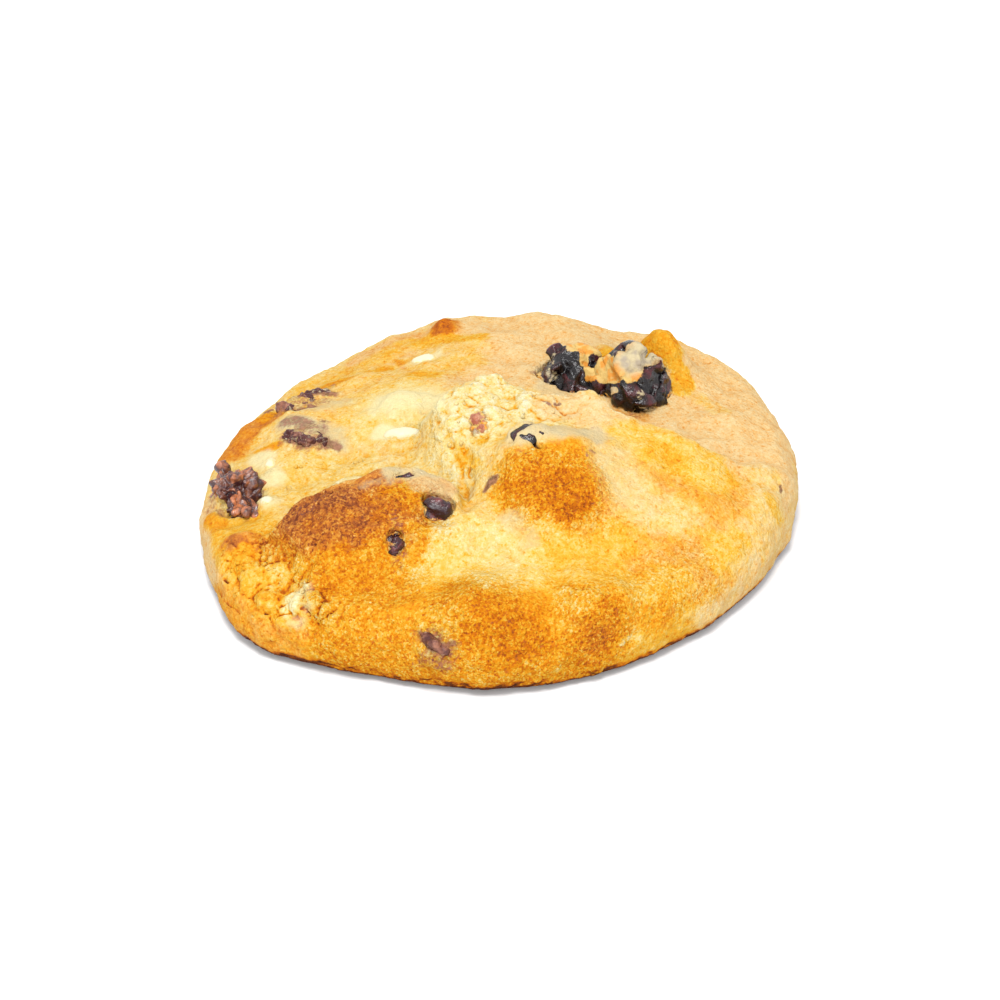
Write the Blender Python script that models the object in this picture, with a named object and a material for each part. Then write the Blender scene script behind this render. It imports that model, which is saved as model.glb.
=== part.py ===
"""A soft-baked cranberry and white chocolate cookie, lying on its flat underside.

One solid of dough has a pocket for every dried cranberry and every chunk of white
chocolate that shows at its surface, and each of those is a solid of its own.
The sizes below are in millimetres, and the finished objects are in metres, +Z up.
The origin is on the table, under the middle of the cookie. +X runs to its right,
and -Y is its front, where the edge browned most.
"""

import math
from collections import namedtuple

import bmesh
import bpy
import numpy as np
from mathutils import Matrix, Vector, noise

MM = 0.001

# The dough's side. Radii and shoulder heights run round it from +X, by way of the back.
RIM_RADII = (41.0, 42.5, 43.0, 40.0, 40.5, 40.5, 39.0, 39.0, 40.5, 42.5, 45.5, 42.5, 42.0, 40.5, 39.5, 40.0)
SHOULDER_HEIGHTS = (9.0, 9.5, 10.2, 6.5, 7.5, 9.5, 10.0, 9.0)
SHOULDER_SHARE = 0.885  # plan radius of the shoulder, as a share of the rim's
FOOT_SHARE = 0.965  # the same for the edge of the underside
BULGE_HEIGHT = 3.2  # widest line of the side, above the table
SHEET_HEIGHT = 12.2  # middle of the spread dough, between its mounds

# The lattice: cells across the cookie, and how many rings of them wrap round its side.
CELLS = 56
SIDE_RINGS = 8

# A steep back edge follows a line along its top, with its mounds on the line's right, and
# reach is how far behind the line the dough comes down to the spread dough.
Scarp = namedtuple("Scarp", "reach line")
RIDGE = Scarp(3.6, (
    (-12.0, -34.0), (-7.0, -26.0), (-4.2, -19.0), (-4.2, -14.0), (-5.0, -8.0), (-8.2, -3.0),
    (-8.6, 1.6), (-6.8, 4.6), (-4.0, 6.6), (0.0, 6.8), (3.2, 3.4), (6.5, 2.0), (12.2, 2.8),
    (15.0, -0.8), (20.9, -3.2), (26.6, -5.4), (32.0, -5.8), (42.0, -2.4),
))
LEFT_EDGE = Scarp(2.2, (
    (-20.0, -34.0), (-25.0, -27.0), (-29.6, -22.2), (-27.4, -20.0), (-25.0, -18.2), (-21.0, -16.5),
    (-15.0, -14.2), (-10.0, -13.6), (-6.4, -15.2), (-3.5, -20.0), (0.0, -26.0), (6.0, -38.0),
))
WHOLE = None  # a mound with no steep edge

# Mounds that rose out of the spread dough. The turn is in degrees, and flatness is 2 for a
# round top and 4 for a flat one with steeper sides.
Mound = namedtuple("Mound", "x y length width turn rise flatness scarp")
MOUNDS = (
    Mound(8.0, 0.0, 27.0, 21.0, -12, 5.3, 3, RIDGE),  # the big one, highest along its back edge
    Mound(6.8, -15.8, 8.2, 8.8, 0, 2.7, 4.5, RIDGE),  # its round cap, which browned
    Mound(-1.5, 3.0, 6.5, 6.5, 0, 0.9, 3, RIDGE),  # its torn, crumbly crown
    Mound(12.3, 0.5, 3.6, 4.5, 0, 0.6, 2, RIDGE),  # its peak
    Mound(-17.0, -18.8, 15.0, 10.2, 6, 4.5, 3.5, LEFT_EDGE),  # the browned one on the left
    Mound(-1.2, -37.0, 6.0, 5.5, 0, 2.1, 3, WHOLE),  # browned bump on the front edge
    Mound(12.6, -35.0, 4.8, 5.0, 0, 2.1, 3, WHOLE),  # its neighbour
    Mound(-8.0, -38.5, 4.0, 4.0, 0, 1.0, 2, WHOLE),  # over the front cranberry
    Mound(-8.3, 33.4, 2.0, 2.2, 0, 2.6, 2, WHOLE),  # browned knob on the back edge
    Mound(23.4, 20.6, 3.2, 4.4, 20, 5.6, 2.5, WHOLE),  # knob beside the big cranberries
    Mound(-27.0, 9.0, 6.0, 9.0, -10, 1.4, 2, WHOLE),  # over two buried cranberries
    Mound(-33.8, -20.8, 3.4, 2.2, 20, 2.0, 2, WHOLE),  # pinched bump on the left edge
    Mound(-12.4, 8.4, 6.0, 5.0, 0, 1.2, 2, WHOLE),  # over melted chocolate
)

# Hollows that sank between the mounds.
Hollow = namedtuple("Hollow", "x y length width turn depth")
HOLLOWS = (
    Hollow(-5.5, -28.0, 11.0, 5.0, 25, 1.0),  # pale trough before the left mound
    Hollow(-22.0, -5.0, 11.0, 7.0, 20, 1.5),  # pale hollow behind it
    Hollow(24.0, 4.0, 12.0, 5.0, -12, 0.8),  # low dough behind the ridge
)

Crack = namedtuple("Crack", "width depth line")
CRACKS = (
    Crack(1.3, 2.2, ((-5.4, -7.0), (-4.4, -9.5), (-4.3, -12.4), (-4.5, -16.0), (-4.2, -20.5))),
    Crack(0.8, 1.4, ((-37.0, -23.0), (-34.0, -26.5), (-30.5, -27.5), (-27.0, -30.5))),
    Crack(0.6, 0.8, ((30.8, -8.0), (34.0, -7.4), (37.0, -9.5))),
)

# What is baked into the dough. Sizes are half sizes, over is how far the top stands above the
# dough there, and cells is how fine a block the piece is rounded from.
Piece = namedtuple("Piece", "name x y size turn over cells")
CRANBERRIES = (
    Piece("cranberry_back_right", 18.7, 13.6, (5.0, 6.0, 5.0), 15, 6.4, 6),
    Piece("cranberry_back_left", 11.2, 16.9, (5.4, 5.2, 4.0), -30, 3.2, 6),
    Piece("cranberry_left_rim", -35.7, -7.4, (3.3, 6.1, 4.2), 24, 3.6, 6),
    Piece("cranberry_upper_left", -27.4, 14.2, (5.0, 2.2, 2.0), 36, 0.6, 4),
    Piece("cranberry_upper_left_front", -26.3, 3.0, (3.8, 2.6, 2.0), -24, 0.5, 4),
    Piece("cranberry_left_mound", -8.1, -20.3, (2.2, 1.7, 1.8), 0, 0.4, 4),
    Piece("cranberry_left_mound_front", -13.2, -26.4, (1.1, 1.9, 1.5), 0, 0.3, 3),
    Piece("cranberry_left_mound_back", -14.4, -16.0, (4.2, 1.5, 1.5), 14, 0.2, 4),
    Piece("cranberry_middle", 4.4, -9.6, (2.9, 2.6, 1.6), 0, 0.3, 4),
    Piece("cranberry_crown", -2.9, -4.3, (1.2, 1.6, 1.3), 0, 0.4, 3),
    Piece("cranberry_front", -7.8, -39.2, (2.6, 2.3, 2.6), 0, -2.7, 4),
)
CHOCOLATES = (
    Piece("white_chocolate_hollow", -12.4, 8.4, (4.6, 3.4, 1.8), 20, 0.3, 4),
    Piece("white_chocolate_bar", -13.0, 2.2, (3.4, 1.4, 1.3), 5, 0.3, 4),
    Piece("white_chocolate_left", -31.0, -1.8, (1.2, 2.0, 1.3), 0, 0.3, 3),
    Piece("white_chocolate_left_front", -31.0, -11.2, (1.4, 1.4, 1.2), 0, 0.3, 3),
    Piece("white_chocolate_back", -10.7, 23.4, (2.2, 1.3, 1.2), 10, 0.3, 3),
)
FIT = 0.4  # space between the dough and a baked-in piece, less where the piece is creased
OPENING = 0.8  # stretch of a pocket's cutter past its piece, on the way out of the dough
LOBE_SIZE = 5.0  # of the lobes that make a piece uneven
LOBE_DEPTH = 0.3  # as a share of its half size
WRINKLE_SIZE = 2.8  # of a dried cranberry's folds
WRINKLE_DEPTH = 0.45  # as a share of its half size
SLUMP_DEPTH = 0.15  # the same for chocolate, which only slumped
PATTERN_STEP = 7.3  # between the patterns of one piece and the next

# The dough's crags: their size, and how far they stand out. Where the dough tore as it rose,
# finer ones stand out besides, most at the middle of the torn place.
CRAGS = ((7.0, 0.9), (2.8, 0.6))
Tear = namedtuple("Tear", "x y length width turn size depth")
TEARS = (
    Tear(-1.5, 2.0, 9.0, 8.0, 0, 2.4, 1.5),  # the crown
    Tear(-24.0, -4.0, 12.0, 8.0, 25, 2.6, 1.0),  # the hollow behind the left mound
    Tear(-27.0, -26.0, 8.0, 7.0, -45, 2.6, 1.0),  # the broken edge on the left
)
SMOOTH_RINGS = 2  # rings above the foot in which the crags die away

# Red, green and blue, as linear light.
DOUGH_COLOUR = (0.85, 0.56, 0.21)
CRANBERRY_COLOUR = (0.07, 0.012, 0.02)
CHOCOLATE_COLOUR = (0.95, 0.86, 0.62)


def round_curve(values, angle):
    """A smooth closed curve through values spaced evenly round the cookie, read at these angles."""
    values = np.array(values)
    place = np.mod(angle, 2 * np.pi) / (2 * np.pi) * len(values)
    index = np.floor(place).astype(int)
    t = place - index
    before, start, end, after = (values[(index + step) % len(values)] for step in (-1, 0, 1, 2))
    bend = 3 * (start - end) + after - before
    return start + 0.5 * t * (end - before + t * (2 * before - 5 * start + 4 * end - after + t * bend))


def turned(x, y, form):
    """Coordinates of plan places along and across a form that lies turned on the cookie."""
    c, s = math.cos(math.radians(form.turn)), math.sin(math.radians(form.turn))
    dx, dy = x - form.x, y - form.y
    return c * dx + s * dy, -s * dx + c * dy


def distance_to_line(x, y, line):
    """Plan distance from each place to a line through points, and whether the place is on its right."""
    nearest = np.full(np.shape(x), np.inf)
    on_right = np.zeros(np.shape(x), dtype=bool)
    for (ax, ay), (bx, by) in zip(line, line[1:]):
        ux, uy = bx - ax, by - ay
        share = np.clip(((x - ax) * ux + (y - ay) * uy) / (ux * ux + uy * uy), 0, 1)
        away = np.hypot(x - ax - share * ux, y - ay - share * uy)
        closer = away < nearest - 1e-9
        on_right = np.where(closer, (x - ax) * uy - (y - ay) * ux > 0, on_right)
        nearest = np.where(closer, away, nearest)
    return nearest, on_right


def smooth(t):
    """A smooth step from 0 to 1."""
    t = np.clip(t, 0, 1)
    return t * t * (3 - 2 * t)


def sheet_height(x, y):
    """Height of the spread dough over plan places, before any mound."""
    angle = np.arctan2(y, x)
    share = np.hypot(x, y) / (round_curve(RIM_RADII, angle) * SHOULDER_SHARE)
    shoulder = round_curve(SHOULDER_HEIGHTS, angle)
    height = shoulder + (SHEET_HEIGHT - shoulder) * (1 - np.clip(share, 0, 1) ** 3)
    for hollow in HOLLOWS:
        along, across = turned(x, y, hollow)
        height = height - hollow.depth * np.exp(-((along / hollow.length) ** 2) - (across / hollow.width) ** 2)
    return height


def top_height(x, y):
    """Height of the dough's top over plan places."""
    height = sheet_height(x, y)
    held = {WHOLE: 1.0}
    for scarp in (RIDGE, LEFT_EDGE):
        away, on_right = distance_to_line(x, y, scarp.line)
        held[scarp] = np.where(on_right, 1.0, 1 - smooth(away / scarp.reach))
    for mound in MOUNDS:
        along, across = turned(x, y, mound)
        out = np.hypot(along / mound.length, across / mound.width)
        height = height + mound.rise * np.exp(-(out**mound.flatness)) * held[mound.scarp]
    for crack in CRACKS:
        away, _ = distance_to_line(x, y, crack.line)
        height = height - crack.depth * np.exp(-((away / crack.width) ** 2))
    return height


def crag(place):
    """How far the dough's crags stand out at a place."""
    rough = sum(depth * noise.noise(Vector(place) / size) for size, depth in CRAGS)
    for tear in TEARS:
        along, across = turned(place[0], place[1], tear)
        here = math.exp(-((along / tear.length) ** 2) - (across / tear.width) ** 2)
        rough += here * tear.depth * noise.noise(Vector(place) / tear.size)
    return rough


def outward(place, out):
    """The way out of the dough there: up over most of the top, and more and more sideways at the rim."""
    sideways = out**6
    return Vector((place[0], place[1], 0)).normalized() * sideways + Vector((0, 0, 1 - sideways))


def disc_lattice():
    """A square lattice, with the plan angle of each vertex once it is pressed round, and its reach, 0 to 1."""
    mesh = bmesh.new()
    bmesh.ops.create_grid(mesh, x_segments=CELLS, y_segments=CELLS, size=1.0)
    u, v = np.array([vertex.co[:2] for vertex in mesh.verts]).T
    reach = np.maximum(np.abs(u), np.abs(v))
    sideways = np.abs(u) >= np.abs(v)
    slant = np.where(sideways, v, u) / np.maximum(reach, 1e-9) * math.pi / 4
    angle = np.where(
        sideways,
        np.where(u >= 0, slant, math.pi - slant),
        np.where(v >= 0, math.pi / 2 - slant, slant - math.pi / 2),
    )
    return mesh, angle, reach


def dough_points(angle, reach):
    """Places of the lattice's vertices on the top and the side of the dough."""
    top_reach = 1 - 2 * SIDE_RINGS / CELLS
    # Down the side, t runs from 0 at the shoulder by way of the bulge to 1 at the foot.
    t = np.clip((reach - top_reach) / (1 - top_reach), 0, 1)
    bulge = 0.6
    upper = np.clip(t / bulge, 0, 1) * math.pi / 2
    lower = np.clip((t - bulge) / (1 - bulge), 0, 1)
    side_share = SHOULDER_SHARE + (1 - SHOULDER_SHARE) * np.sin(upper) - (1 - FOOT_SHARE) * lower**2
    share = np.where(t > 0, side_share, reach / top_reach * SHOULDER_SHARE)
    radius = round_curve(RIM_RADII, angle)
    inner = radius * np.minimum(share, SHOULDER_SHARE)
    top = top_height(inner * np.cos(angle), inner * np.sin(angle))
    z = np.where(t <= bulge, BULGE_HEIGHT + (top - BULGE_HEIGHT) * np.cos(upper), BULGE_HEIGHT * (1 - lower))
    return np.stack([radius * share * np.cos(angle), radius * share * np.sin(angle), z], axis=1)


def material(name, colour, roughness):
    """A Principled material."""
    made = bpy.data.materials.new(name)
    made.use_nodes = True
    shader = made.node_tree.nodes["Principled BSDF"]
    shader.inputs["Base Color"].default_value = (*colour, 1)
    shader.inputs["Roughness"].default_value = roughness
    shader.inputs["Metallic"].default_value = 0
    return made


def finish(name, mesh, finish_material=None):
    """A smooth object from a bmesh that is in millimetres."""
    bmesh.ops.recalc_face_normals(mesh, faces=mesh.faces)
    data = bpy.data.meshes.new(name)
    mesh.to_mesh(data)
    mesh.free()
    data.shade_smooth()
    if finish_material:
        data.materials.append(finish_material)
    made = bpy.data.objects.new(name, data)
    bpy.context.scene.collection.objects.link(made)
    return made


def make_dough(finish_material):
    """The dough: the lattice on its top and side, with crags, and a flat underside."""
    mesh, angle, reach = disc_lattice()
    for vertex, place, out in zip(mesh.verts, dough_points(angle, reach), reach):
        rough = crag(place) * min(1.0, (1 - out) * CELLS / 2 / SMOOTH_RINGS)
        vertex.co = Vector(place) + outward(place, out) * rough
    foot = [edge for edge in mesh.edges if edge.is_boundary]
    bmesh.ops.contextual_create(mesh, geom=foot)
    return finish("dough", mesh, finish_material)


def rounded_block(cells):
    """A block of square cells, pressed out to a ball of radius 1, with nearly even faces."""
    mesh = bmesh.new()
    bmesh.ops.create_cube(mesh, size=2.0)
    bmesh.ops.subdivide_edges(mesh, edges=mesh.edges[:], cuts=cells - 1, use_grid_fill=True)
    for vertex in mesh.verts:
        vertex.co = Vector([math.tan(value * math.pi / 4) for value in vertex.co]).normalized()
    return mesh


def make_piece(piece, number, finish_material, fold):
    """A baked-in piece, and the cutter for its pocket, which is larger by the fit and open on its way out."""
    mesh = rounded_block(piece.cells)
    turn = Matrix.Rotation(math.radians(piece.turn), 3, "Z")
    own = Vector((0, 0, PATTERN_STEP * number))
    for vertex in mesh.verts:
        place = Vector([share * half for share, half in zip(vertex.co, piece.size)])
        lobe = noise.noise(place / LOBE_SIZE + own)
        crease = abs(noise.noise(place / WRINKLE_SIZE + own))
        vertex.co = turn @ (place * (1 + LOBE_DEPTH * lobe - fold * crease))
    bmesh.ops.triangulate(mesh, faces=mesh.faces)

    surface = float(top_height(np.array(piece.x), np.array(piece.y)))
    top = surface + crag((piece.x, piece.y, surface)) + piece.over
    middle = Vector((piece.x, piece.y, top - max(vertex.co.z for vertex in mesh.verts)))
    rim = float(round_curve(RIM_RADII, math.atan2(piece.y, piece.x)))
    way_out = outward(middle, math.hypot(piece.x, piece.y) / rim)
    pocket = mesh.copy()
    for vertex in pocket.verts:
        vertex.co += vertex.co.normalized() * FIT
        vertex.co += way_out * OPENING * max(0.0, vertex.co.dot(way_out))
    for part in (mesh, pocket):
        bmesh.ops.translate(part, vec=middle, verts=part.verts)
    cutter = finish(piece.name + "_pocket", pocket)
    cutter.hide_render = True
    cutter.display_type = "WIRE"
    return finish(piece.name, mesh, finish_material), cutter


def cut(made, cutter=None, cutters=None):
    """Cuts one solid, or a collection of them, out of an object."""
    modifier = made.modifiers.new("pocket", "BOOLEAN")
    modifier.operation = "DIFFERENCE"
    modifier.solver = "EXACT"
    if cutters:
        modifier.operand_type = "COLLECTION"
        modifier.collection = cutters
    else:
        modifier.object = cutter


def settle(objects):
    """Moves the whole cookie so that the middle of its footprint is the origin, and turns it to metres."""
    corners = np.array([vertex.co for made in objects for vertex in made.data.vertices])
    low, high = corners.min(axis=0), corners.max(axis=0)
    to_origin = Matrix.Translation((-(low[0] + high[0]) / 2, -(low[1] + high[1]) / 2, 0))
    return Matrix.Scale(MM, 4) @ to_origin


def main():
    for old in list(bpy.data.objects):
        bpy.data.objects.remove(old)

    dough = make_dough(material("dough", DOUGH_COLOUR, 0.75))
    cranberry = material("cranberry", CRANBERRY_COLOUR, 0.3)
    chocolate = material("white_chocolate", CHOCOLATE_COLOUR, 0.45)

    solids = [dough]
    pockets = bpy.data.collections.new("pockets")
    bpy.context.scene.collection.children.link(pockets)
    cutters = {}
    kinds = ((CRANBERRIES, cranberry, WRINKLE_DEPTH), (CHOCOLATES, chocolate, SLUMP_DEPTH))
    for pieces, finish_material, fold in kinds:
        for piece in pieces:
            made, cutter = make_piece(piece, len(solids), finish_material, fold)
            bpy.context.scene.collection.objects.unlink(cutter)
            pockets.objects.link(cutter)
            cutters[piece.name] = cutter
            solids.append(made)

    # The two big cranberries at the back are pressed together, and one gives way.
    cut(bpy.data.objects["cranberry_back_left"], cutter=cutters["cranberry_back_right"])
    cut(dough, cutters=pockets)

    placed = settle(solids)
    for made in solids + list(cutters.values()):
        made.data.transform(placed)


main()
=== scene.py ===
import math
from collections import namedtuple

import bpy
import numpy as np
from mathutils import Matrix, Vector, kdtree, noise


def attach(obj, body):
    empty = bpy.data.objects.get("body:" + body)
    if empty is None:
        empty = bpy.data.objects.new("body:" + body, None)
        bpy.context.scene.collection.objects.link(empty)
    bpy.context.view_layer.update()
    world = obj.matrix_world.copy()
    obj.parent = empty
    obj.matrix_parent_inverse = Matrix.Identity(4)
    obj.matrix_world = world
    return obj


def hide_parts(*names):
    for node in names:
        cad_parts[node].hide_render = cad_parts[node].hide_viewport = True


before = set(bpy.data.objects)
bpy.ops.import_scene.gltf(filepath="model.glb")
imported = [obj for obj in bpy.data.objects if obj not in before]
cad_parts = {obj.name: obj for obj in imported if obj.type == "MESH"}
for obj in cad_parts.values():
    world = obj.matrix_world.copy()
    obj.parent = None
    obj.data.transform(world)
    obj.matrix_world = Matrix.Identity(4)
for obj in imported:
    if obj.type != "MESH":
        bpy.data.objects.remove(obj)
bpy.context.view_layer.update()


# ---- The dough ----
# One lump of soft butter dough that spread in the oven, rose in mounds and tore at its crown.
# Its pockets are closed up to the berries and the chocolate, its crust is roughened, and how far
# it browned is painted on it, stroke by stroke, with painted light and shade on its relief, in its cracks
# and pits and at its foot.

MM = 0.001
GRAIN = 0.36 * MM  # of the dough's mesh


def only(*chosen):
    """Selects these objects and no others, the first of them active."""
    bpy.ops.object.select_all(action="DESELECT")
    for made in chosen:
        made.select_set(True)
    bpy.context.view_layer.objects.active = chosen[0]


def copy_of(node, name):
    """A copy of a CAD node, with its loose triangles merged."""
    made = bpy.data.objects.new(name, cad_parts[node].data.copy())
    bpy.context.scene.collection.objects.link(made)
    made.data.materials.clear()
    only(made)
    bpy.ops.object.mode_set(mode="EDIT")
    bpy.ops.mesh.select_all(action="SELECT")
    bpy.ops.mesh.remove_doubles(threshold=MM / 100)
    bpy.ops.object.mode_set(mode="OBJECT")
    return made


def shape(made, kind, **settings):
    """Adds a modifier to an object and applies it."""
    modifier = made.modifiers.new(kind, kind)
    for setting, value in settings.items():
        setattr(modifier, setting, value)
    only(made)
    bpy.ops.object.modifier_apply(modifier=modifier.name)


def points(made, kind="co"):
    """The places of an object's vertices, in millimetres, or their normals."""
    flat = np.empty(len(made.data.vertices) * 3)
    made.data.vertices.foreach_get(kind, flat)
    return flat.reshape(-1, 3) / (MM if kind == "co" else 1)


def move_points(made, place):
    """Moves an object's vertices to places in millimetres."""
    made.data.vertices.foreach_set("co", (place * MM).ravel())
    made.data.update()


def push(made, depth):
    """Pushes each vertex out along its normal, by a depth in millimetres."""
    move_points(made, points(made) + points(made, "normal") * depth[:, None])


def smooth(t):
    """A smooth step from 0 to 1."""
    t = np.clip(t, 0, 1)
    return t * t * (3 - 2 * t)


def elsewhere(seed):
    """A shift to another part of the noise for each seed."""
    return Vector((0, 0, 31.7 * seed))


def clouds(place, size, seed):
    """Noise from about -1 to 1 at places, in lumps of a size in millimetres."""
    return np.array([noise.noise(Vector(p) / size + elsewhere(seed)) for p in place]) * 1.6


def crumbs(place, size, seed):
    """Round crumbs of a size in millimetres, no two of a height: from -1 between them to 1 on top."""
    height = np.empty(len(place))
    for index, p in enumerate(place):
        away, middles = noise.voronoi(Vector(p) / size + elsewhere(seed))
        bulge = min(1.0, (away[1] - away[0]) * 2.2)
        plump, lifted = noise.cell(middles[0] * 9.1), noise.cell(middles[0] * 5.3)
        height[index] = bulge * (0.75 + 0.5 * plump) + 0.5 * lifted
    return height - 0.6


def facets(place, size, seed):
    """Flat facets of a size in millimetres, each tilted its own way, from about -1 to 1."""
    height = np.empty(len(place))
    for index, p in enumerate(place):
        spot = Vector(p) / size + elsewhere(seed)
        middle = noise.voronoi(spot)[1][0]
        tilt = noise.cell_vector(middle * 7.3) - Vector((0.5, 0.5, 0.5))
        height[index] = 2.4 * tilt.dot(spot - middle) + 0.5 * noise.cell(middle * 5.3)
    return height


# The dough closes round what is baked into it: each pocket is filled with a grown copy of its
# piece, dropped until the piece stands out of it. One that isn't dropped is a film over it.
Pocket = namedtuple("Pocket", "growth drop")
POCKETS = {
    "cranberry_upper_left": Pocket(0.4, 0.2),
    "cranberry_upper_left_front": Pocket(0.4, 0.2),
    "cranberry_left_mound": Pocket(0.3, 1.4),
    "cranberry_left_mound_front": Pocket(0.4, 0.9),
    "cranberry_left_mound_back": Pocket(0.45, 0),
    "cranberry_middle": Pocket(0.45, 0),
    "cranberry_crown": Pocket(0.5, 0.7),
    "cranberry_front": Pocket(0.4, 0.1),
    "cranberry_back_left": Pocket(0.2, 4.0),
    "cranberry_back_right": Pocket(0.2, 4.0),
    "cranberry_left_rim": Pocket(0.1, 2.2),
    "white_chocolate_hollow": Pocket(0.25, 0),
    "white_chocolate_bar": Pocket(0.4, 0.8),
    "white_chocolate_left": Pocket(0.5, 0.5),
    "white_chocolate_left_front": Pocket(0.5, 0.5),
    "white_chocolate_back": Pocket(0.4, 0.5),
}

dough = copy_of("dough", "baked_dough")
fillers = []
for node, pocket in POCKETS.items():
    filler = copy_of(node, "filler")
    shape(filler, "DISPLACE", strength=pocket.growth * MM, mid_level=0)
    move_points(filler, points(filler) - (0, 0, pocket.drop))
    fillers.append(filler)
only(dough, *fillers)
bpy.ops.object.join()
shape(dough, "REMESH", mode="VOXEL", voxel_size=GRAIN)
shape(dough, "SMOOTH", factor=0.5, iterations=11)


def away_from(place, line):
    """Distance of each place from a line through points, in plan for points without a height."""
    flat = len(line[0])
    place = place[:, :flat]
    nearest = np.full(len(place), np.inf)
    for start, end in zip(line, line[1:] or line):
        start, run = np.array(start), np.array(end) - np.array(start)
        share = np.clip((place - start) @ run / max(run @ run, 1e-9), 0, 1)
        nearest = np.minimum(nearest, np.linalg.norm(place - start - share[:, None] * run, axis=1))
    return nearest


def on_left(place, line):
    """Whether each place is on the left of a line on the cookie."""
    nearest = np.full(len(place), np.inf)
    left = np.zeros(len(place), dtype=bool)
    for start, end in zip(line, line[1:]):
        away = away_from(place, (start, end))
        ux, uy = end[0] - start[0], end[1] - start[1]
        side = (place[:, 1] - start[1]) * ux - (place[:, 0] - start[0]) * uy > 0
        left = np.where(away < nearest - 1e-6, side, left)
        nearest = np.minimum(nearest, away)
    return left


def wandering(place, size, reach, seed):
    """The same places, shifted by noise, so that what is made at them gets an uneven edge."""
    return place + np.stack([clouds(place, size, seed + k) for k in range(3)], axis=1) * reach


# Places on the cookie are in millimetres from its middle, to the right and to the back.
# Folds are where a mound's edge stands over what lies on the left of the line.
Fold = namedtuple("Fold", "rise fall reach line")
FOLDS = (
    # the left mound
    Fold(0.45, 0.75, 2.2, ((-25.4, -26.5), (-30.0, -21.3), (-27.8, -19.1), (-25.4, -17.3), (-21.4, -15.6),
                           (-15.4, -13.3), (-10.4, -12.7), (-6.8, -14.3), (-4.6, -18.0))),
    # the crown
    Fold(0.3, 0.5, 2.0, ((-4.6, -18.1), (-4.6, -13.1), (-5.4, -7.1), (-8.6, -2.1), (-9.0, 2.5),
                         (-7.2, 5.5), (-4.4, 7.5), (-0.4, 7.7), (2.8, 4.3))),
    # the ridge
    Fold(0.3, 0.6, 1.6, ((2.8, 4.3), (6.1, 2.9), (11.8, 3.7), (14.6, 0.1), (20.5, -2.3), (26.2, -4.5),
                         (31.6, -4.9), (36.0, -3.6))),
    # the cap of the middle mound
    Fold(0.2, 0.3, 1.6, ((12.4, -14.8), (12.8, -19.4), (10.8, -22.6), (6.4, -23.6))),
    # the pinch on the left edge
    Fold(0.2, 0.4, 1.2, ((-38.4, -17.2), (-35.2, -18.4), (-31.6, -19.0))),
    # the foot of the left mound
    Fold(0.0, 0.5, 1.4, ((-28.0, -30.4), (-24.8, -30.0), (-23.6, -26.4))),
)
FOLD_FADE = 4.0  # how far from its ends a fold dies out
FLAT_FOOT = 0.3  # nothing moves below this height, so that the dough lies flat on the table
place = points(dough)
crust = smooth(place[:, 2] - FLAT_FOOT)
loose = wandering(place, 3.0, 0.45, 1)
for fold in FOLDS:
    away = away_from(loose, fold.line)
    from_ends = [np.linalg.norm(loose[:, :2] - np.array(fold.line[k]), axis=1) for k in (0, -1)]
    held = np.exp(-away / fold.reach) * smooth(np.minimum(*from_ends) / FOLD_FADE)
    place[:, 2] += held * np.where(on_left(loose, fold.line), -fold.fall, fold.rise) * crust
# The knob behind the big pair of cranberries stands up a little more.
KNOB = ((15.2, 23.4), (18.4, 22.8), (20.6, 21.6))
KNOB_RISE, KNOB_WIDTH = 1.1, 2.3
place[:, 2] += np.exp(-((away_from(place, KNOB) / KNOB_WIDTH) ** 2)) * KNOB_RISE * crust
move_points(dough, place)
shape(dough, "SMOOTH", factor=0.5, iterations=2)

# Where the dough tore open it is crumbly, and where it browned it is sandy.
Patch = namedtuple("Patch", "share width line")
CRUMBLY = (
    Patch(1.0, 6.0, ((-4.5, -2.0), (-1.0, 3.5), (3.5, 0.5))),  # the crown
    Patch(0.8, 3.6, ((-7.5, -4.0), (-7.0, -11.0))),  # below it, down to the crevice
    Patch(0.5, 5.0, ((-31.0, -5.0), (-24.0, -5.0), (-17.0, -3.0))),  # the hollow behind the left mound
    Patch(1.5, 4.5, ((-33.0, -25.0), (-28.0, -29.5), (-25.0, -33.0))),  # the broken edge on the left
    Patch(0.6, 3.0, ((-32.0, -33.0, 5.0), (-26.0, -36.0, 6.0))),  # and down its side
    Patch(0.2, 3.0, ((4.0, -27.0), (9.0, -28.0), (14.0, -30.5))),  # the dip behind the front edge
)
SANDY = (
    Patch(1.0, 6.5, ((5.0, -17.5), (7.5, -18.0))),
    Patch(1.0, 6.5, ((-26.0, -22.5), (-20.0, -22.5), (-13.0, -21.5))),
    Patch(0.8, 6.0, ((-21.0, -30.0), (-16.0, -30.0))),
    Patch(1.0, 7.0, ((-4.0, -37.0, 9.0), (0.0, -39.0, 6.0))),
    Patch(1.0, 5.5, ((11.0, -36.5, 9.0), (11.0, -39.0, 5.0))),
    Patch(0.8, 5.5, ((-20.0, -37.0, 6.0), (-12.0, -39.5, 5.0), (0.0, -41.0, 3.5), (9.0, -40.0, 4.0))),
    Patch(0.5, 5.0, ((18.0, -32.0), (24.0, -27.0))),
)
# Over two of the berries the dough is smeared smooth.
SMEARED = (
    Patch(0.8, 4.0, ((3.0, -8.0), (10.0, -8.0))),
    Patch(0.8, 2.5, ((-15.0, -15.0), (-9.0, -14.5))),
)
surface = points(dough)
facing_up = points(dough, "normal")[:, 2] > 0.2


def set_down(line):
    """The points of a line, each that has no height set down on the dough."""
    landed = []
    for point in line:
        if len(point) == 2:
            away = np.hypot(surface[:, 0] - point[0], surface[:, 1] - point[1])
            closest = away.min()
            near = away < max(0.6, closest + 0.3)
            under = np.flatnonzero(near & (facing_up | (away < closest + 0.05)))
            point = (*point, surface[under, 2].max())
        landed.append(point)
    return tuple(landed)


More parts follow.
